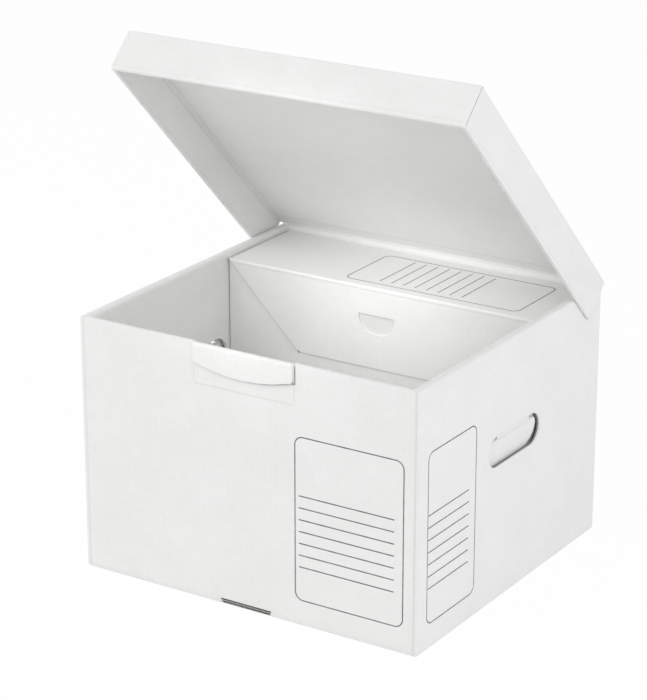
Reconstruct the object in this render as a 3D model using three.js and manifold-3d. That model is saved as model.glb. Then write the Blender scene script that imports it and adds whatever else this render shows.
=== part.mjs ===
// Archive storage box in white corrugated card, with its lid open and one closed file box inside.
// The storage box is one folded blank: base, single front and back walls, and side walls that roll
// over their own tops and back down inside. The lid turns on the crease along the rear top edge.
// Millimetres, +Z up, front towards -Y. The origin is the centre of the base's underside.

import * as THREE from 'three';
import { mergeVertices } from 'three/addons/utils/BufferGeometryUtils.js';
import Module from 'manifold-3d';

const wasm = await Module();
wasm.setup();

// Storage box
const boxWidth = 350;
const boxDepth = 325;
const wallHeight = 242;
const board = 3;
const foldRadius = 2;
const endFlapLength = 100;
const sidePanelSetback = 1;

// Tongue folded over the top edge of the front wall
const tongueWidth = 104;
const tongueEndDrop = 18;
const tongueBelly = 7;
const tongueCornerRadius = 4;
const tongueGap = 0.3;

// Slot at the front fold of the base, with the locking tab seen in it
const slotWidth = 53;
const slotClearance = 2;
const tabSideClearance = 1;
const tabSetback = 0.8;

// Hand holes in both side walls and the flaps that hang in them
const handHoleLength = 92;
const handHoleHeight = 30;
const handHoleDrop = 84;
const handHoleRearward = 3;
const innerHoleMargin = 3.5;
const flapClearance = 0.6;
const flapHingeGap = 0.3;
const flapPushedIn = 10;

// Lid, and how far it stands open
const skirtDrop = 40;
const lidSideGap = 0.7;
const lidFrontGap = 0.7;
const lidSeatGap = 0.3;
const skirtRearSetback = 1;
const hingeGap = 0.25;
const lidOpening = 45;

// Closed file box standing against the back wall
const fileBoxThickness = 104;
const fileBoxTopDrop = 4.7;
const fileBoxSideGap = 1;
const fileBoxBackGap = 1;
const fileBoxSeatGap = 0.3;
const fileBoard = 2;
const fileFoldRadius = 2;
const closureDrop = 79;
const thumbWidth = 39;
const thumbDepth = 19;
const thumbFromTop = 27;
const reliefRadius = 1.2;

// Values that follow from the sizes above
const halfWidth = boxWidth / 2;
const halfDepth = boxDepth / 2;
const sideWall = 3 * board;
const flapPlane = halfWidth - board;
const hingeHeight = wallHeight + lidSeatGap + board;
const tongueFace = halfDepth + tongueGap + board;
const lidHalfWidth = halfWidth + lidSideGap + board;
const lidLength = halfDepth + tongueFace + lidFrontGap + 2 * board;
const curveSteps = 6;
const past = 5;

// Solids

function solidOf(geometry) {
  const bare = geometry.clone();
  bare.deleteAttribute('normal');
  bare.deleteAttribute('uv');
  const merged = mergeVertices(bare, 1e-4);
  return new wasm.Manifold(new wasm.Mesh({
    numProp: 3,
    vertProperties: new Float32Array(merged.attributes.position.array),
    triVerts: new Uint32Array(merged.index.array),
  }));
}

// A closed outline from corners [u, v, radius], with the corners that have a radius rounded off
function outline(corners) {
  const shape = new THREE.Shape();
  corners.forEach(([u, v, radius = 0], i) => {
    const corner = new THREE.Vector2(u, v);
    const before = new THREE.Vector2(...corners.at(i - 1));
    const after = new THREE.Vector2(...corners[(i + 1) % corners.length]);
    const toBefore = before.sub(corner);
    const toAfter = after.sub(corner);
    const reach = Math.min(radius, toBefore.length() / 2, toAfter.length() / 2);
    const start = corner.clone().addScaledVector(toBefore.normalize(), reach);
    const end = corner.clone().addScaledVector(toAfter.normalize(), reach);
    if (i === 0) shape.moveTo(start.x, start.y);
    else shape.lineTo(start.x, start.y);
    if (radius > 0) shape.quadraticCurveTo(u, v, end.x, end.y);
  });
  shape.closePath();
  return shape;
}

// Directions of an outline's two axes and of its extrusion, for each plane it can lie in
const planes = {
  XY: [[1, 0, 0], [0, 1, 0], [0, 0, 1]],
  YZ: [[0, 1, 0], [0, 0, 1], [1, 0, 0]],
  XZ: [[1, 0, 0], [0, 0, 1], [0, -1, 0]],
};

function prism(plane, shape, from, to) {
  const geometry = new THREE.ExtrudeGeometry(shape, {
    depth: to - from,
    bevelEnabled: false,
    curveSegments: curveSteps,
  });
  const start = plane === 'XZ' ? -to : from;
  geometry.translate(0, 0, start);
  const axes = planes[plane].map((axis) => new THREE.Vector3(...axis));
  geometry.applyMatrix4(new THREE.Matrix4().makeBasis(...axes));
  return solidOf(geometry);
}

function block([x0, x1], [y0, y1], [z0, z1]) {
  const geometry = new THREE.BoxGeometry(x1 - x0, y1 - y0, z1 - z0);
  geometry.translate((x0 + x1) / 2, (y0 + y1) / 2, (z0 + z1) / 2);
  return solidOf(geometry);
}

function join(...solids) {
  return solids.reduce((whole, next) => whole.add(next));
}

function meshOf(name, solid, colour, roughness) {
  const { vertProperties, triVerts } = solid.getMesh();
  const geometry = new THREE.BufferGeometry();
  geometry.setAttribute('position', new THREE.BufferAttribute(new Float32Array(vertProperties), 3));
  geometry.setIndex(new THREE.BufferAttribute(new Uint32Array(triVerts), 1));
  geometry.computeVertexNormals();
  const material = new THREE.MeshStandardMaterial({ color: colour, roughness, metalness: 0 });
  const mesh = new THREE.Mesh(geometry, material);
  mesh.name = name;
  return mesh;
}

// Storage box

// Base and both side walls in one section across the box. Each side wall is an outer panel that
// rolls over at the top into an inner panel, with a board's thickness of room between them.
function baseAndSides() {
  const inner = halfWidth - sideWall;
  const section = outline([
    [-halfWidth, 0, foldRadius],
    [halfWidth, 0, foldRadius],
    [halfWidth, wallHeight, board],
    [inner, wallHeight, board],
    [inner, board],
    [-inner, board],
    [-inner, wallHeight, board],
    [-halfWidth, wallHeight, board],
  ]);
  const end = halfDepth - sidePanelSetback;
  const shell = prism('XZ', section, -end, end);
  const roomHeights = [board, wallHeight - board];
  const room = (side) => {
    const edges = [side * (flapPlane - board), side * flapPlane].sort((a, b) => a - b);
    return block(edges, [-halfDepth, halfDepth], roomHeights);
  };
  return shell.subtract(room(1)).subtract(room(-1));
}

// An end wall with the two flaps folded back from it into the side walls. side is -1 for the
// front wall and 1 for the back wall, and crown lists the corners of the wall's top edge.
function endWall(side, crown) {
  const plan = outline([
    [-flapPlane, side * halfDepth, foldRadius],
    [flapPlane, side * halfDepth, foldRadius],
    [flapPlane, side * (halfDepth - endFlapLength)],
    [flapPlane - board, side * (halfDepth - endFlapLength)],
    [flapPlane - board, side * (halfDepth - board)],
    [board - flapPlane, side * (halfDepth - board)],
    [board - flapPlane, side * (halfDepth - endFlapLength)],
    [-flapPlane, side * (halfDepth - endFlapLength)],
  ]);
  const profile = outline([
    [side * halfDepth, 0, foldRadius],
    ...crown,
    [side * (halfDepth - board), wallHeight - board],
    [side * (halfDepth - endFlapLength), wallHeight - board],
    [side * (halfDepth - endFlapLength), 0],
  ]);
  const tall = prism('XY', plan, 0, hingeHeight);
  return tall.intersect(prism('YZ', profile, -halfWidth, halfWidth));
}

// The tongue rises in the plane of the front wall, folds forward over the top edge and hangs
// down outside, with a bowed lower edge.
function frontTongue() {
  const foot = wallHeight - tongueEndDrop - tongueBelly - past;
  const fold = outline([
    [-tongueFace, foot],
    [-tongueFace, wallHeight, board],
    [board - halfDepth, wallHeight, board],
    [board - halfDepth, foot],
    [-halfDepth, foot],
    [-halfDepth, wallHeight - board],
    [board - tongueFace, wallHeight - board],
    [board - tongueFace, foot],
  ]);
  const half = tongueWidth / 2;
  const corner = wallHeight - tongueEndDrop;
  const leaf = new THREE.Shape();
  leaf.moveTo(-half, wallHeight + past);
  leaf.lineTo(-half, corner + tongueCornerRadius);
  leaf.quadraticCurveTo(-half, corner, tongueCornerRadius - half, corner);
  leaf.quadraticCurveTo(0, corner - 2 * tongueBelly, half - tongueCornerRadius, corner);
  leaf.quadraticCurveTo(half, corner, half, corner + tongueCornerRadius);
  leaf.lineTo(half, wallHeight + past);
  leaf.closePath();
  const slitMiddle = -halfDepth - tongueGap / 2;
  const outside = prism('XZ', leaf, -tongueFace - past, slitMiddle);
  const inside = block([-half, half], [slitMiddle, board - halfDepth], [foot, wallHeight]);
  return prism('YZ', fold, -half, half).intersect(join(outside, inside));
}

function obround(length, height, centreY, centreZ) {
  const radius = height / 2;
  const straight = length / 2 - radius;
  const shape = new THREE.Shape();
  shape.absarc(centreY + straight, centreZ, radius, -Math.PI / 2, Math.PI / 2, false);
  shape.absarc(centreY - straight, centreZ, radius, Math.PI / 2, 3 * Math.PI / 2, false);
  shape.closePath();
  return shape;
}

const handHoleTop = wallHeight - handHoleDrop;
const handHoleMiddle = handHoleTop - handHoleHeight / 2;

function handHoles() {
  const outer = obround(handHoleLength, handHoleHeight, handHoleRearward, handHoleMiddle);
  const inner = obround(
    handHoleLength + 2 * innerHoleMargin,
    handHoleHeight + 2 * innerHoleMargin,
    handHoleRearward,
    handHoleMiddle,
  );
  const innerReach = halfWidth - board - board / 2;
  return join(
    prism('YZ', outer, innerReach, halfWidth + past),
    prism('YZ', outer, -halfWidth - past, -innerReach),
    prism('YZ', inner, -innerReach, innerReach),
  );
}

function boxBody() {
  const wallTop = [[-halfDepth, wallHeight], [board - halfDepth, wallHeight]];
  const hingeTop = [
    [halfDepth, hingeHeight - hingeGap],
    [halfDepth - board, hingeHeight - board - hingeGap],
  ];
  const half = tongueWidth / 2;
  const tongueRoom = block(
    [-half, half],
    [-halfDepth - past, board - halfDepth],
    [wallHeight - board, wallHeight + past],
  );
  const slotHeight = board + slotClearance;
  const slot = block(
    [-slotWidth / 2, slotWidth / 2],
    [-halfDepth - past, board - halfDepth],
    [-past, slotHeight],
  );
  const tabHalf = slotWidth / 2 - tabSideClearance;
  const tab = block([-tabHalf, tabHalf], [tabSetback - halfDepth, 2 * board - halfDepth], [0, board]);
  return join(baseAndSides(), endWall(-1, wallTop), endWall(1, hingeTop))
    .subtract(tongueRoom)
    .add(frontTongue())
    .subtract(slot)
    .add(tab)
    .subtract(handHoles());
}

// Hand hole flap, hanging from its hinge line along Y with the outside towards +X. The ends of
// its upper edge are cut back so that it swings inward clear of the hole's round ends.
function handHoleFlap() {
  const holeRadius = handHoleHeight / 2;
  const straight = handHoleLength / 2 - holeRadius;
  const knuckle = board / 2;
  const middle = knuckle + flapHingeGap - holeRadius;
  const endRadius = holeRadius - flapClearance;
  const upperEnd = [];
  for (let step = 0; step <= curveSteps; step++) {
    const across = endRadius * Math.sin((step / curveSteps) * Math.PI / 2);
    const holeEdge = holeRadius - Math.sqrt(holeRadius ** 2 - across ** 2);
    const below = Math.max(0, holeEdge - knuckle - flapHingeGap + flapClearance);
    upperEnd.push([straight + across, -Math.hypot(below, knuckle)]);
  }
  const shape = new THREE.Shape();
  shape.moveTo(-straight, 0);
  shape.lineTo(-straight, -knuckle);
  upperEnd.forEach(([y, z]) => shape.lineTo(-y, z));
  shape.absarc(-straight, middle, endRadius, Math.PI, 3 * Math.PI / 2, false);
  shape.absarc(straight, middle, endRadius, 3 * Math.PI / 2, 2 * Math.PI, false);
  upperEnd.reverse().forEach(([y, z]) => shape.lineTo(y, z));
  shape.lineTo(straight, 0);
  shape.closePath();
  const leaf = prism('YZ', shape, -knuckle, knuckle);
  const roll = solidOf(new THREE.CylinderGeometry(knuckle, knuckle, 2 * straight, 4 * curveSteps));
  return leaf.add(roll);
}

// Lid, closed, with the hinge line at the origin: panel and side skirts in one section across,
// and the front skirt doubled back on itself inside.
function lidSolid() {
  const across = outline([
    [-lidHalfWidth, -skirtDrop],
    [-lidHalfWidth, 0, foldRadius],
    [lidHalfWidth, 0, foldRadius],
    [lidHalfWidth, -skirtDrop],
    [lidHalfWidth - board, -skirtDrop],
    [lidHalfWidth - board, -board],
    [board - lidHalfWidth, -board],
    [board - lidHalfWidth, -skirtDrop],
  ]);
  const rear = -skirtRearSetback;
  const plan = outline([
    [-lidHalfWidth, board - lidLength, foldRadius],
    [lidHalfWidth, board - lidLength, foldRadius],
    [lidHalfWidth, rear],
    [flapPlane, rear],
    [flapPlane, -hingeGap],
    [-flapPlane, -hingeGap],
    [-flapPlane, rear],
    [-lidHalfWidth, rear],
  ]);
  const panelAndSides = prism('XZ', across, -lidLength, 0)
    .intersect(prism('XY', plan, -skirtDrop - past, past));
  const frontSkirt = outline([
    [-lidLength, 0, foldRadius],
    [-lidLength, -skirtDrop, board],
    [2 * board - lidLength, -skirtDrop, board],
    [2 * board - lidLength, 0],
  ]);
  // The panel's rear edge is cut at 45 degrees, so that lid and back wall part along a mitre
  const reach = 2 * board;
  const mitre = outline([
    [reach - hingeGap, reach],
    [-hingeGap - reach, -reach],
    [reach, -reach],
  ]);
  const crease = prism('YZ', mitre, -flapPlane, flapPlane);
  const front = prism('YZ', frontSkirt, -lidHalfWidth, lidHalfWidth);
  return panelAndSides.subtract(crease).add(front);
}

// File box, closed: a plain carton with its closure flap folded down over the front
function fileBox() {
  const half = halfWidth - sideWall - fileBoxSideGap;
  const back = halfDepth - board - fileBoxBackGap;
  const front = back - fileBoxThickness;
  const panelFront = front + fileBoard;
  const bottom = board + fileBoxSeatGap;
  const top = wallHeight - fileBoxTopDrop;
  const r = fileFoldRadius;
  const faceOn = outline([[-half, bottom, r], [half, bottom, r], [half, top, r], [-half, top, r]]);
  const endOn = outline([[panelFront, bottom, r], [back, bottom, r], [back, top, r], [panelFront, top]]);
  const above = outline([[-half, front, r], [half, front, r], [half, back, r], [-half, back, r]]);
  const carton = prism('XZ', faceOn, front, back).intersect(prism('YZ', endOn, -half, half));
  const flap = outline([
    [-half, top],
    [closureDrop - half, top - closureDrop],
    [half - closureDrop, top - closureDrop],
    [half, top],
  ]);
  const flapProfile = outline([
    [front, top - closureDrop],
    [panelFront + fileBoard, top - closureDrop],
    [panelFront + fileBoard, top],
    [front, top, r],
  ]);
  const closure = prism('XZ', flap, front, panelFront + fileBoard)
    .intersect(prism('YZ', flapProfile, -half, half));
  const thumb = new THREE.Shape();
  thumb.moveTo(-thumbWidth / 2, top - thumbFromTop);
  thumb.quadraticCurveTo(
    -thumbWidth / 2,
    top - thumbFromTop - thumbDepth,
    0,
    top - thumbFromTop - thumbDepth,
  );
  thumb.quadraticCurveTo(
    thumbWidth / 2,
    top - thumbFromTop - thumbDepth,
    thumbWidth / 2,
    top - thumbFromTop,
  );
  thumb.closePath();
  const thumbCut = prism('XZ', thumb, front - past, panelFront);
  const reliefs = [-1, 1].map((side) => {
    const hole = new THREE.Shape();
    hole.absarc(side * (half - closureDrop), top - closureDrop, reliefRadius, 0, 2 * Math.PI, false);
    return prism('XZ', hole, front - past, panelFront);
  });
  return carton
    .add(closure)
    .intersect(prism('XY', above, bottom - past, top + past))
    .subtract(join(thumbCut, ...reliefs));
}

// Assembly

const cardColour = '#f4f4f2';
const box = new THREE.Group();

box.add(meshOf('box_body', boxBody(), cardColour, 0.75));

const lid = meshOf('lid', lidSolid(), cardColour, 0.75);
lid.position.set(0, halfDepth, hingeHeight);
lid.rotation.x = -THREE.MathUtils.degToRad(lidOpening);
box.add(lid);

box.add(meshOf('file_box', fileBox(), '#f1f2f3', 0.7));

const flapHingeX = halfWidth - board / 2;
const flapHingeZ = handHoleTop - flapHingeGap - board / 2;
for (const [name, side] of [['hand_hole_flap_right', 1], ['hand_hole_flap_left', -1]]) {
  const flap = meshOf(name, handHoleFlap(), cardColour, 0.75);
  flap.position.set(side * flapHingeX, handHoleRearward, flapHingeZ);
  flap.rotation.y = side * THREE.MathUtils.degToRad(flapPushedIn);
  box.add(flap);
}

export default box;
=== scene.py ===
import math
import bmesh
import bpy
from mathutils import Matrix, Vector


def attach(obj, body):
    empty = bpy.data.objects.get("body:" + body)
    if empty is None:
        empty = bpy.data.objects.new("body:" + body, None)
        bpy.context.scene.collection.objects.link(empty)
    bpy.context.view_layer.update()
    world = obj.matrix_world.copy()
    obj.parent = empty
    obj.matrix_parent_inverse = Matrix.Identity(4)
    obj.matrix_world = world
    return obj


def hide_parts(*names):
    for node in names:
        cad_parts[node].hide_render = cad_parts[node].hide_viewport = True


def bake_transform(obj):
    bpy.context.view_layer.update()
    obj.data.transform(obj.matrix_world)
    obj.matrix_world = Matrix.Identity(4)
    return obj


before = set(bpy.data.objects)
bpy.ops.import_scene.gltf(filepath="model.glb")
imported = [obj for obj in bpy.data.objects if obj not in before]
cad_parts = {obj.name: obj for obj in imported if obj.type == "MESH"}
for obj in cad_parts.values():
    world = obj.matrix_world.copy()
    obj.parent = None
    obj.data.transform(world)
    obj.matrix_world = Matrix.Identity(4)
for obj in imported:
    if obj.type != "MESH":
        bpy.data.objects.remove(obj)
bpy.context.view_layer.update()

# Storage box. One folded blank of white lined corrugated card: single front and back walls, and
# side walls that roll over their own tops and back down inside, holding the end flaps. A tongue
# folds over the front wall, and a tab locks in a slot at the front fold of the base.

MM = 0.001
HALF_WIDTH = 175
HALF_DEPTH = 162.5
WALL_HEIGHT = 242
BOARD = 3
LINER = 0.45
FLUTE_PITCH = 6.35
FLUTE_STEPS = 8
FLUTE_SINK = 0.15
MEDIUM = 0.25
EDGE_DEPTH = 2.2
SLACK = 0.1
BEND_AREA = 600 * MM * MM
SHARP_ANGLE = math.radians(32)


def tint(red, green, blue):
    """A display colour, 0 to 255, as the linear colour a shader takes."""
    linear = []
    for level in (red, green, blue):
        part = level / 255
        linear.append(part / 12.92 if part <= 0.04045 else ((part + 0.055) / 1.055) ** 2.4)
    return (*linear, 1)


CARD_WHITE = tint(245, 245, 244)
CARD_SHADE = tint(229, 229, 227)
CARD_CORE = tint(190, 189, 186)
CORE_DARK = tint(150, 148, 145)
INK = tint(72, 73, 76)
FLECK = tint(190, 187, 181)
GAP_SHADOW = tint(92, 92, 92)


class Value:
    """A value inside a finish. Sums on it add Math nodes, and node() adds any other node."""

    def __init__(self, socket):
        self.socket = socket

    def node(self, kind, settings, sockets, out=0):
        tree = self.socket.id_data
        made = tree.nodes.new(kind)
        for name, setting in settings.items():
            setattr(made, name, setting)
        for name, value in sockets.items():
            if isinstance(value, Value):
                tree.links.new(value.socket, made.inputs[name])
            else:
                made.inputs[name].default_value = value
        return Value(made.outputs[out])

    def maths(self, operation, *terms):
        return self.node("ShaderNodeMath", {"operation": operation}, dict(enumerate(terms)))

    def __add__(self, other):
        return self.maths("ADD", self, other)

    def __radd__(self, other):
        return self.maths("ADD", other, self)

    def __sub__(self, other):
        return self.maths("SUBTRACT", self, other)

    def __rsub__(self, other):
        return self.maths("SUBTRACT", other, self)

    def __mul__(self, other):
        return self.maths("MULTIPLY", self, other)

    def __rmul__(self, other):
        return self.maths("MULTIPLY", other, self)

    def __truediv__(self, other):
        return self.maths("DIVIDE", self, other)

    def __abs__(self):
        return self.maths("ABSOLUTE", self)

    def most(self, other):
        return self.maths("MAXIMUM", self, other)

    def least(self, other):
        return self.maths("MINIMUM", self, other)

    def over(self, limit):
        return self.maths("GREATER_THAN", self, limit)

    def held(self):
        return self.node("ShaderNodeClamp", {}, {"Value": self})

    def axis(self, name):
        return self.node("ShaderNodeSeparateXYZ", {}, {"Vector": self}, name)

    def stretched(self, *scale):
        return self.node("ShaderNodeVectorMath", {"operation": "MULTIPLY"}, {0: self, 1: scale})

    def noise(self, scale, detail):
        return self.node("ShaderNodeTexNoise", {}, {"Vector": self, "Scale": scale, "Detail": detail})


def blended(amount, first, second):
    """One colour turning into another as amount goes from 0 to 1."""
    return amount.node("ShaderNodeMix", {"data_type": "RGBA"}, {0: amount, 6: first, 7: second}, 2)


def new_finish(name, turn=0.0, centre=(0, 0, 0)):
    """A finish, its shader, and the piece's own coordinates in millimetres from a centre, after
    a turn about X."""
    finish = bpy.data.materials.new(name)
    finish.use_nodes = True
    tree = finish.node_tree
    shader = tree.nodes["Principled BSDF"]
    coordinates = Value(tree.nodes.new("ShaderNodeTexCoord").outputs["Object"])
    shift = -(Matrix.Rotation(turn, 3, "X") @ Vector(centre))
    place = coordinates.node("ShaderNodeMapping", {}, {
        "Vector": coordinates,
        "Location": shift,
        "Rotation": (turn, 0, 0),
        "Scale": (1 / MM, 1 / MM, 1 / MM),
    })
    return finish, shader, place


def dress(finish, shader, colour, rough, height, strength):
    """Gives a finish its colour, its roughness and its relief, a height in millimetres."""
    bump = height.node("ShaderNodeBump", {}, {"Strength": strength, "Distance": MM, "Height": height})
    for name, value in (("Base Color", colour), ("Roughness", rough), ("Normal", bump)):
        finish.node_tree.links.new(value.socket, shader.inputs[name])


STROKE_EDGE = 6


def stroke(distance, half_width):
    """1 on a line and 0 off it, from the distance to its middle."""
    return ((half_width - abs(distance)) * STROKE_EDGE + 0.5).held()


def span(value, low, high):
    """1 between two limits and 0 outside them."""
    return stroke(value - (low + high) / 2, (high - low) / 2)


def within(axes, spans):
    """1 in a box, given by its limits along X, Y and Z, and 0 outside it."""
    along_x, along_y, along_z = (span(axis, *limits) for axis, limits in zip(axes, spans))
    return along_x * along_y * along_z


def label_frame(across, up, left, right, bottom, top, radius, half_width):
    """The outline of a label with rounded corners."""
    out = abs(across - (left + right) / 2) - ((right - left) / 2 - radius)
    over = abs(up - (bottom + top) / 2) - ((top - bottom) / 2 - radius)
    square = out.most(0) * out.most(0) + over.most(0) * over.most(0)
    distance = square.maths("SQRT", square) + out.most(over).least(0) - radius
    return stroke(distance, half_width)


def ruled_lines(across, up, left, right, first, step, count, half_width):
    """Evenly spaced writing lines."""
    line = (up - first) / step
    nearest = line.maths("ROUND", line).most(0).least(count - 1)
    return stroke((line - nearest) * step, half_width) * span(across, left, right)


PRINT_LINE = 0.56


def label(across, up, outline, lines, radius):
    """A printed label. outline is its left, right, bottom and top, and lines are where its
    writing lines start and end, the place of the first, their spacing and their number."""
    drawn = label_frame(across, up, *outline, radius, PRINT_LINE)
    return drawn.most(ruled_lines(across, up, *lines, PRINT_LINE))


# Noise scale per millimetre, and detail
CLOUD = (0.022, 3)
FELT = (0.3, 2)
FIBRE = (2.4, 2)
SPECK = (0.9, 1)
FEWEST_SPECKS = 0.735


def card(finish_parts, flute_way, print_mask=None, relief=None, shade=None, painted_shadow=None):
    """White lined card: cloudy top liner, fine fibres, small flecks and the faint washboard of the
    flutes. print_mask is ink and relief is height in mm; shade is painted shade that greys the liner
    in creases, folds and recesses, and the last mask is painted shadow that darkens narrow seams,
    slits and hollows."""
    finish, shader, place = finish_parts
    cloud = place.noise(*CLOUD)
    felt = place.stretched(0.35, 1, 0.6).noise(*FELT)
    fibre = place.stretched(0.5, 1, 0.9).noise(*FIBRE)
    fleck = (place.noise(*SPECK) - FEWEST_SPECKS) * 9
    phase = flute_way * (2 * math.pi / FLUTE_PITCH)
    washboard = phase.maths("SINE", phase)
    grey = (cloud - 0.5) * 0.5 + (felt - 0.5) * 0.35 + (fibre - 0.5) * 0.3 + washboard * 0.03 + 0.3
    # Painted shade greys the liner in creases, folds and recesses.
    if shade is not None:
        grey = grey + shade
    colour = blended(grey.held(), CARD_WHITE, CARD_SHADE)
    colour = blended(fleck.held() * 0.45, colour, FLECK)
    height = fibre * 0.05 + felt * 0.05 + washboard * 0.018
    if relief is not None:
        height = height + relief
    if print_mask is not None:
        ink = print_mask * (0.72 + felt * 0.35)
        colour = blended(ink.held(), colour, INK)
    # Painted shadow, in the shadow grey, darkens narrow seams, slits and hollows.
    if painted_shadow is not None:
        colour = blended((painted_shadow * 0.8).held(), colour, GAP_SHADOW)
    dress(finish, shader, colour, 0.56 + felt * 0.12, height, 0.6)
    shader.inputs["Specular IOR Level"].default_value = 0.3
    return finish


def core(name):
    """The inside of the board, seen at a cut edge: soft grey-white paper in shadow."""
    finish, shader, place = new_finish(name)
    pulp = place.noise(1.6, 3)
    strand = place.stretched(1, 1, 3).noise(4, 2)
    colour = blended((pulp * 0.8 + strand * 0.4 - 0.1).held(), CARD_CORE, CORE_DARK)
    dress(finish, shader, colour, 0.8 + strand * 0.1, pulp * 0.12 + strand * 0.06, 0.7)
    return finish


WELD = 0.02
FLAT_ANGLE = math.radians(1)


def unfolded(node):
    """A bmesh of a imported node, its loose triangles merged back into whole panels."""
    mesh = bmesh.new()
    mesh.from_mesh(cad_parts[node].data)
    bmesh.ops.remove_doubles(mesh, verts=mesh.verts, dist=WELD * MM)
    bmesh.ops.dissolve_limit(mesh, angle_limit=FLAT_ANGLE, verts=mesh.verts, edges=mesh.edges)
    for face in mesh.faces:
        face.material_index = 0
    return mesh


def slit(mesh, point, normal):
    """Divides the faces along a plane, so that a strip of a larger face can be worked on."""
    parts = mesh.verts[:] + mesh.edges[:] + mesh.faces[:]
    bmesh.ops.bisect_plane(mesh, geom=parts, plane_co=Vector(point) * MM, plane_no=normal)


def faces_in(mesh, *spans):
    """The faces with every corner inside three spans, in millimetres along X, Y and Z."""
    limits = [sorted(limit) for limit in spans]
    found = []
    for face in mesh.faces:
        corners = [vert.co / MM for vert in face.verts]
        if all(low <= co[way] <= high for co in corners for way, (low, high) in enumerate(limits)):
            found.append(face)
    return found


LINER_TURN = 0.01


def open_edge(mesh, faces, depth=EDGE_DEPTH, paper=1):
    """Opens a cut edge of the board: both liners stay, and the space between them goes in."""
    bmesh.ops.inset_region(mesh, faces=faces, thickness=LINER * MM, use_even_offset=True,
                           use_boundary=True)
    walls = bmesh.ops.inset_region(mesh, faces=faces, thickness=LINER_TURN * MM, depth=-depth * MM,
                                   use_even_offset=True, use_boundary=True)
    for face in walls["faces"] + faces:
        face.material_index = paper


def lay_flutes(mesh, start, end, across, inward, depth=EDGE_DEPTH, bow=None):
    """Lays the fluted middle paper between the liners, along a cut edge from start to end."""
    start, end, across, inward = (Vector(item) for item in (start, end, across, inward))
    waves = (end - start).length / FLUTE_PITCH
    grid = bmesh.ops.create_grid(mesh, x_segments=round(waves * FLUTE_STEPS), y_segments=1, size=0.5)
    swing = (BOARD - 2 * LINER - MEDIUM) / 2
    for vert in grid["verts"]:
        along = vert.co.x + 0.5
        deep = (vert.co.y + 0.5) * depth + FLUTE_SINK
        sway = math.sin(2 * math.pi * waves * along) * swing
        place = start.lerp(end, along) + inward * deep + across * sway
        if bow is not None:
            place += bow(along)
        vert.co = place * MM
    paper = {face for vert in grid["verts"] for face in vert.link_faces}
    for face in paper:
        face.material_index = 1
    bmesh.ops.solidify(mesh, geom=list(paper), thickness=MEDIUM * MM)


def finished(name, mesh, finishes, body, slot, *stands_for):
    """Makes the piece: its folds shaded smooth, its panels flat and its cut edges sharp."""
    for edge in mesh.edges:
        edge.smooth = edge.calc_face_angle(math.pi) < SHARP_ANGLE
    for face in mesh.faces:
        face.smooth = face.calc_area() < BEND_AREA
    data = bpy.data.meshes.new(name)
    mesh.to_mesh(data)
    mesh.free()
    for finish in finishes:
        data.materials.append(finish)
    piece = bpy.data.objects.new(name, data)
    bpy.context.scene.collection.objects.link(piece)
    if body:
        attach(piece, body)
    if stands_for:
        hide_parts(*stands_for)
    return piece


# Print, score lines, painted shade in the folds and painted shadow in narrow slits and hollows, as
# masks on the box's own coordinates
FRONT_LIMIT = -160.9
RIGHT_LIMIT = 174.9
FRONT_LABEL = (52.3, 161, 24, 176.7)
FRONT_LINES = (56, 152, 55.6, 11.1, 7)
RIGHT_LABEL = (-146, -65.3, 23.5, 181.5)
RIGHT_LINES = (-145, -76.6, 56.8, 11.3, 7)
LABEL_CORNER = 8
box_parts = new_finish("box_card")
box_axes = [box_parts[2].axis(way) for way in "XYZ"]
box_x, box_y, box_z = box_axes
on_front = (FRONT_LIMIT - box_y).over(0)
on_right = box_x.over(RIGHT_LIMIT)
front_label = label(box_x, box_z, FRONT_LABEL, FRONT_LINES, LABEL_CORNER)
right_label = label(box_y, box_z, RIGHT_LABEL, RIGHT_LINES, LABEL_CORNER)
printed = front_label * on_front + right_label * on_right

TONGUE_HALF = 52
SCORE_FOOT = WALL_HEIGHT - 38
SCORE_LINE = 0.5
FRONT_FOLD = 171.2
# Score lines around the tongue, the front wall's corner folds and its base fold are real grooves in
# the relief, and painted shade greys the liner along them.
score = stroke(abs(box_x) - TONGUE_HALF, SCORE_LINE) * span(box_z, SCORE_FOOT, WALL_HEIGHT)
score = score.most(stroke(box_z - SCORE_FOOT, SCORE_LINE) * span(box_x, -TONGUE_HALF, TONGUE_HALF))
score = score * on_front
fold_line = stroke(abs(box_x) - FRONT_FOLD, 0.7) * on_front
base_line = stroke(box_z - BOARD, 0.6) * on_front

TONGUE_FOOT = WALL_HEIGHT - 18
TONGUE_BELLY = 7
BOW_HALF = 48
TONGUE_SHADOW = (-49, 52)
BESIDE_TONGUE = 52.7
BESIDE_HEIGHT = (223, 240)
WALL_FACE = (-162.7, -162)
SLOT = ((-26.6, 26.6), (-162.3, -150), (2.9, 5.2))
RIGHT_HOLE_RIM = ((166.6, 173.5), (-52, 58), (120, 166))
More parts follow.
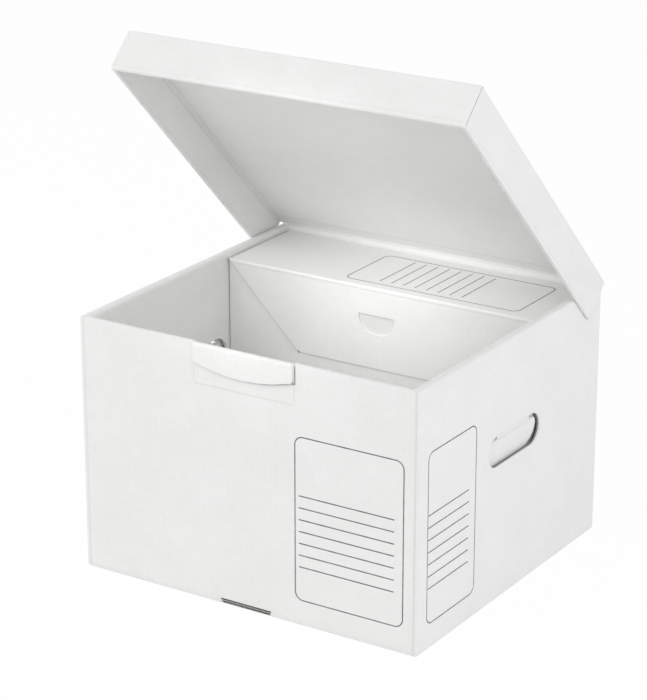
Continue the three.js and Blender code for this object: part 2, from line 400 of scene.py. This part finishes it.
# Painted shadow: a dark line under the tongue's bowed lower edge and beside its right end, on the
# wall face behind it, and painted shade in the slot at the foot of the front wall.
bow_at = ((box_x + BOW_HALF) / (2 * BOW_HALF)).held()
under_tongue = box_z - (TONGUE_FOOT - 4 * TONGUE_BELLY * bow_at * (1 - bow_at))
tongue_shadow = stroke(under_tongue + 0.7, 0.8) * span(box_x, *TONGUE_SHADOW)
shadow_beside_tongue = stroke(box_x - BESIDE_TONGUE, 0.6) * span(box_z, *BESIDE_HEIGHT)
behind_tongue = span(box_y, *WALL_FACE) * on_front
painted_joint_shadows = (tongue_shadow + shadow_beside_tongue).held() * behind_tongue * 0.7 + within(box_axes, SLOT)
box_card = card(
    box_parts,
    box_x * on_front + box_z * (1 - on_front),
    print_mask=printed,
    relief=score * -0.35 + base_line * -0.15 + fold_line * -0.1,
    # painted shade along the score lines and folds
    shade=score * 0.5 + fold_line * 1.1 + base_line * 0.3,
    # Painted shadow on the right hand hole's rim, as in a shaded hollow, with the painted shadow
    # under and beside the tongue and in the slot.
    painted_shadow=(within(box_axes, RIGHT_HOLE_RIM) + painted_joint_shadows).held(),
)
box_core = core("box_board_core")

box = unfolded("box_body")
for side in (-1, 1):
    slit(box, (side * TONGUE_HALF, 0, 0), (1, 0, 0))
    slit(box, (side * (HALF_WIDTH - 2 * BOARD), 0, 0), (1, 0, 0))
slit(box, (0, BOARD - HALF_DEPTH, 0), (0, 1, 0))

# The cut edges that are opened: the underside of the tongue and the front of the locking tab
TONGUE_RIM = ((-52.1, 52.1), (-165.9, -162.7), (215, 242.1))
RIM_TOP = 232
TONGUE_DEPTH = 1.4
TONGUE_MIDDLE = 164.3
TONGUE_FLUTES = 47
TAB_HALF = 25.5
TAB_FACE = 161.7
TAB_FLUTES = 25
tongue_rim = [
    face for face in faces_in(box, *TONGUE_RIM)
    if abs(face.normal.y) < 0.3 and face.normal.z < -0.2
    and max(vert.co.z for vert in face.verts) < RIM_TOP * MM
]
open_edge(box, tongue_rim, TONGUE_DEPTH)
tab_front = faces_in(
    box,
    (-TAB_HALF - SLACK, TAB_HALF + SLACK),
    (-TAB_FACE - SLACK, SLACK - TAB_FACE),
    (-SLACK, BOARD + SLACK),
)
open_edge(box, tab_front)

# The side walls' ends and the front wall's top edge stay closed, so the flutes laid along them
# are inside the card and don't show
WALL_END = HALF_DEPTH - 1
WALL_FLUTES = (4, 237)
TOP_FLUTES = (TONGUE_HALF + 1, 168.4)
FRONT_MIDDLE = HALF_DEPTH - BOARD / 2
for side in (-1, 1):
    middle = side * (HALF_WIDTH - BOARD / 2)
    for end in (-1, 1):
        lower, upper = ((middle, end * WALL_END, height) for height in WALL_FLUTES)
        lay_flutes(box, lower, upper, (1, 0, 0), (0, -end, 0))
    inner, outer = ((side * across, -FRONT_MIDDLE, WALL_HEIGHT) for across in TOP_FLUTES)
    lay_flutes(box, inner, outer, (0, 1, 0), (0, 0, -1))

left, right = ((side * TAB_FLUTES, -TAB_FACE, BOARD / 2) for side in (-1, 1))
lay_flutes(box, left, right, (0, 0, 1), (0, 1, 0))
left, right = ((side * TONGUE_FLUTES, -TONGUE_MIDDLE, TONGUE_FOOT) for side in (-1, 1))
lay_flutes(box, left, right, (0, 1, 0), (0, 0, 1), TONGUE_DEPTH,
           lambda along: Vector((0, 0, -TONGUE_BELLY * 4 * along * (1 - along))))
finished("box_body_card", box, (box_card, box_core), "box", "box_card", "box_body")

# Hand hole flaps. Each is perforated out of the side wall's outer panel, hangs from a crease
# along its top, and has been pushed in a little. The right one stops short at its rear end.

FLAP_CREASE = 153.6
FLAP_REAR = 28
REAR_OPENING = 5
REAR_ROUND = 6
for side, name in ((1, "right"), (-1, "left")):
    flap_parts = new_finish(f"flap_card_{name}")
    flap_z = flap_parts[2].axis("Z")
    # The crease along the flap's top is a real groove in the relief, and painted shade greys the
    # liner along it.
    crease = stroke(flap_z - FLAP_CREASE, 0.6)
    flap_card = card(flap_parts, flap_z, relief=crease * -0.3, shade=crease * 0.6)
    flap = unfolded(f"hand_hole_flap_{name}")
    for vert in flap.verts:
        beyond = vert.co.y / MM - FLAP_REAR
        if side > 0 and beyond > 0:
            vert.co.y -= REAR_OPENING * MM * min(1, beyond / REAR_ROUND)
    finished(f"hand_hole_flap_card_{name}", flap, (flap_card,), f"flap_{name}", "box_card",
             f"hand_hole_flap_{name}")

# Lid. It carries on from the back wall at a crease: one panel, two side skirts folded down and a
# front skirt doubled back on itself. Its pattern lies in the closed lid's own coordinates.

LID_OPEN = math.radians(45)
HINGE = (0, HALF_DEPTH, 245.3)
LID_HALF = 178.7
LID_LENGTH = 335
SKIRT = 40
FRONT_SKIRT = 2 * BOARD
REAR_GAP = 1
REAR_CREASES = (8, 15)
SKIRT_CREASE = 172.6
CORNER_SEAM = 1.6
HEM = 36.5
lid_parts = new_finish("lid_card", LID_OPEN, HINGE)
lid_x, lid_y, lid_z = (lid_parts[2].axis(way) for way in "XYZ")
inside = (1 - abs(lid_z + BOARD) * 1.5).held()
# The creases inside the lid, along the side skirts and at the front skirt's hem are real grooves in
# the relief, and painted shade greys the liner along them.
rear_crease = stroke(lid_y + REAR_CREASES[0], 0.8) + stroke(lid_y + REAR_CREASES[1], 0.7)
rear_crease = rear_crease * inside
skirt_crease = stroke(abs(lid_x) - SKIRT_CREASE, 0.6) * inside
skirt_crease = skirt_crease + stroke(lid_z + 6.4, 0.6) * span(abs(lid_x), 175, 176.5)
# Painted shadow: a thin dark line down each side skirt where it meets the front skirt.
corner_seam_shadow = stroke(lid_y + LID_LENGTH - CORNER_SEAM, 0.45) * (abs(lid_x) - 177.9).held()
corner_seam_shadow = corner_seam_shadow * span(lid_z, 1 - SKIRT, -1)
hem = stroke(lid_z + HEM, 0.5)
lid_card = card(
    lid_parts,
    lid_x,
    relief=rear_crease * -0.4 + skirt_crease * -0.3 + hem * -0.12,
    shade=rear_crease * 0.7 + skirt_crease * 0.55 + hem * 0.25,
    painted_shadow=corner_seam_shadow,
)
lid_core = core("lid_board_core")

SKIRT_GROOVE = 0.35
SKIRT_FLUTES = (1 - SKIRT, -3.5)
lid = unfolded("lid")
closed = Matrix.Rotation(LID_OPEN, 4, "X") @ Matrix.Translation(-Vector(HINGE) * MM)
bmesh.ops.transform(lid, matrix=closed, verts=lid.verts)
for side in (-1, 1):
    slit(lid, (side * (LID_HALF - BOARD), 0, 0), (1, 0, 0))
slit(lid, (0, FRONT_SKIRT - LID_LENGTH, 0), (0, 1, 0))
for side in (-1, 1):
    wall = [side * (LID_HALF - BOARD - SLACK), side * (LID_HALF + SLACK)]
    length = (FRONT_SKIRT - SLACK - LID_LENGTH, 0)
    lower = faces_in(lid, wall, length, (-SKIRT - SLACK, SLACK - SKIRT))
    open_edge(lid, lower, SKIRT_GROOVE, 0)
    rear = faces_in(lid, wall, (-REAR_GAP - SLACK, SLACK - REAR_GAP), (-SKIRT - 1, 1))
    open_edge(lid, rear)
    middle = side * (LID_HALF - BOARD / 2)
    start, end = ((middle, -REAR_GAP, height) for height in SKIRT_FLUTES)
    lay_flutes(lid, start, end, (1, 0, 0), (0, -1, 0))
bmesh.ops.transform(lid, matrix=closed.inverted(), verts=lid.verts)
finished("lid_panel", lid, (lid_card, lid_core), "lid", "box_card", "lid")

# Lid crease. The board's liners run on from the back wall into the lid across the mitred crease,
# the outer one at the hinge line itself and the inner one stretched over the opened notch.

CREASE_HALF = 171.6
STRIP_THICKNESS = 0.1
OUTER_LINER = [Vector((0, 0.12, -9)), Vector((0, 0.12, -4)), Vector((0, 0.12, -0.6))]
INNER_LINER = [Vector((0, -3.1, -12)), Vector((0, -3.1, -6)), Vector((0, -3.05, -3.4))]
crease_parts = new_finish("crease_card", 0.0, HINGE)
crease_card = card(crease_parts, crease_parts[2].axis("X"))
hinge = Vector(HINGE)
turned = Matrix.Rotation(-LID_OPEN, 3, "X")
for name, wall_side in (("lid_crease_outer", OUTER_LINER), ("lid_crease_inner", INNER_LINER)):
    lid_side = [turned @ Vector((0, point.z, point.y)) for point in reversed(wall_side)]
    points = wall_side + lid_side
    mesh = bmesh.new()
    ends = [mesh.verts.new((hinge + points[0] + Vector((x, 0, 0))) * MM)
            for x in (-CREASE_HALF, CREASE_HALF)]
    edge = mesh.edges.new(ends)
    for before, after in zip(points, points[1:]):
        made = bmesh.ops.extrude_edge_only(mesh, edges=[edge])["geom"]
        moved = [item for item in made if isinstance(item, bmesh.types.BMVert)]
        bmesh.ops.translate(mesh, verts=moved, vec=(after - before) * MM)
        edge = next(item for item in made if isinstance(item, bmesh.types.BMEdge)
                    and all(vert in moved for vert in item.verts))
    bmesh.ops.solidify(mesh, geom=mesh.faces[:], thickness=STRIP_THICKNESS * MM)
    bmesh.ops.recalc_face_normals(mesh, faces=mesh.faces[:])
    strip = finished(name, mesh, (crease_card,), None, "box_card")
    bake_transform(strip)

# File box. A separate closed carton of thinner white card, standing against the back wall, with
# its closure flap folded down over the front. Its label and writing lines face up.

FILE_TOP = 237.1
SPINE_LABEL = (66.5, 143.5, -42, 140)
SPINE_LINES = (74.5, 138.5, -8.6, 12.4, 8)
SPINE_CORNER = 7
FLAP_FOLD = 233.6
FLAP_FRONT = 57
THUMB_HALF = 19.4
THUMB_HEIGHT = (191, 212)
MITRE_FOOT = 72.3
MITRE_HEIGHT = (158, 236)
HEM_HALF = 86
HEM_HEIGHT = 157.6
RELIEF_HEIGHT = 158.3
RELIEF_AREA = 2.6
file_parts = new_finish("file_card")
file_x, file_y, file_z = (file_parts[2].axis(way) for way in "XYZ")
spine = label(file_y, file_x, SPINE_LABEL, SPINE_LINES, SPINE_CORNER) * file_z.over(FILE_TOP)
# The closure flap's fold is a real groove greyed with painted shade, and painted shade darkens the
# panel seen through the flap's thumb cut.
flap_fold = stroke(file_z - FLAP_FOLD, 0.6) * (FLAP_FRONT - file_y).held()
under_flap = span(file_y, FLAP_FRONT - 1, FLAP_FRONT)
thumb_cut_shade = under_flap * span(file_x, -THUMB_HALF, THUMB_HALF) * span(file_z, *THUMB_HEIGHT)
# Painted shadow: dark lines beside the flap's mitred edges and under its lower edge, and a dark spot
# in the small relief hole at each mitre's foot.
mitre = (abs(file_x) - file_z + MITRE_FOOT) * math.sqrt(0.5)
mitre_shadow = stroke(mitre - 0.9, 0.9) * under_flap * span(file_z, *MITRE_HEIGHT)
hem_shadow = stroke(file_z - HEM_HEIGHT, 0.5) * under_flap * span(file_x, -HEM_HALF, HEM_HALF)
hole_across, hole_up = abs(file_x) - HEM_HALF, file_z - RELIEF_HEIGHT
hole = hole_across * hole_across + hole_up * hole_up - RELIEF_AREA
relief_hole_shadow = (0.5 - hole).held() * span(file_y, FLAP_FRONT - BOARD, FLAP_FRONT)
file_card = card(
    file_parts,
    file_x,
    print_mask=spine,
    relief=flap_fold * -0.2,
    shade=flap_fold * 0.4 + thumb_cut_shade * 1.2,
    painted_shadow=(mitre_shadow + hem_shadow * 0.3 + relief_hole_shadow).held(),
)
file_box = unfolded("file_box")
finished("file_box_card", file_box, (file_card,), "box", "file_card", "file_box")

# Floor and light. A flat white floor in a pale room, broad soft lamps from the right, the front
# and the left, and a small one aimed into the box's opening, which lifts the inside.

CAMERA_AIM = Vector((-0.0162, -0.0104, 0.194))
CAMERA_FROM = (32.68, 20.12, 2.45)
CAMERA_LENS = 139.1
OPENING_AIM = Vector((0, 0.12, 0.21))
WHITE = (1, 1, 1)
COOL_WHITE = (0.97, 0.99, 1)
ROOM = (0.67, 0.67, 0.672, 1)
FLOOR_SIZE = 6
FLOOR_WHITE = 0.95
stage_mesh = bmesh.new()
bmesh.ops.create_grid(stage_mesh, x_segments=1, y_segments=1, size=FLOOR_SIZE)
stage_data = bpy.data.meshes.new("floor")
stage_mesh.to_mesh(stage_data)
stage_mesh.free()
floor = bpy.data.objects.new("floor", stage_data)
bpy.context.scene.collection.objects.link(floor)
floor_finish = bpy.data.materials.new("floor_white")
floor_finish.use_nodes = True
floor_tree = floor_finish.node_tree
floor_shader = floor_tree.nodes["Principled BSDF"]
floor_shader.inputs["Base Color"].default_value = tint(252, 252, 252)
floor_shader.inputs["Roughness"].default_value = 0.9
floor_shader.inputs["Specular IOR Level"].default_value = 0
glow = floor_tree.nodes.new("ShaderNodeEmission")
glow.inputs["Color"].default_value = (*WHITE, 1)
ray = Value(floor_tree.nodes.new("ShaderNodeLightPath").outputs["Is Camera Ray"])
lit = ray.node("ShaderNodeMixShader", {}, {
    0: ray * FLOOR_WHITE,
    1: Value(floor_shader.outputs["BSDF"]),
    2: Value(glow.outputs["Emission"]),
})
floor_tree.links.new(lit.socket, floor_tree.nodes["Material Output"].inputs["Surface"])
stage_data.materials.append(floor_finish)

world = bpy.data.worlds.new("studio")
bpy.context.scene.world = world
world.use_nodes = True
sky = world.node_tree.nodes["Background"]
rays = world.node_tree.nodes.new("ShaderNodeLightPath").outputs
seen = Value(rays["Is Camera Ray"]).most(Value(rays["Is Glossy Ray"]))
seen = seen.most(Value(rays["Is Transmission Ray"]))
world.node_tree.links.new(blended(seen, ROOM, (*WHITE, 1)).socket, sky.inputs["Color"])
sky.inputs["Strength"].default_value = 1


def stand(item, azimuth, elevation, distance, aim):
    """Stands a lamp or the camera off from the point that it is aimed at."""
    around, above = math.radians(azimuth), math.radians(elevation)
    flat = math.cos(above)
    way = Vector((math.sin(around) * flat, -math.cos(around) * flat, math.sin(above)))
    item.location = aim + way * distance
    item.rotation_euler = (-way).to_track_quat("-Z", "Y").to_euler()
    bpy.context.scene.collection.objects.link(item)


def add_lamp(name, azimuth, elevation, distance, size, power, colour, spread=180, aim=CAMERA_AIM):
    """A square soft lamp, aimed at the middle of the box unless another point is given."""
    data = bpy.data.lights.new(name, "AREA")
    data.shape = "SQUARE"
    data.size = size
    data.energy = power
    data.spread = math.radians(spread)
    data.color = colour
    stand(bpy.data.objects.new(name, data), azimuth, elevation, distance, aim)


add_lamp("key", 78, 22, 2.4, 1.2, 11, COOL_WHITE)
add_lamp("front", -12, 35, 2.4, 1.2, 9, WHITE)
add_lamp("left", -80, 24, 2.4, 1.2, 9, WHITE)
add_lamp("opening", 0, 28, 0.62, 0.12, 0.06, WHITE, 34, OPENING_AIM)

camera_data = bpy.data.cameras.new("camera")
camera_data.lens = CAMERA_LENS
camera_data.sensor_width = 36
camera_data.clip_end = 50
camera = bpy.data.objects.new("camera", camera_data)
stand(camera, *CAMERA_FROM, CAMERA_AIM)
bpy.context.scene.camera = camera
bpy.context.scene.view_settings.view_transform = "Standard"
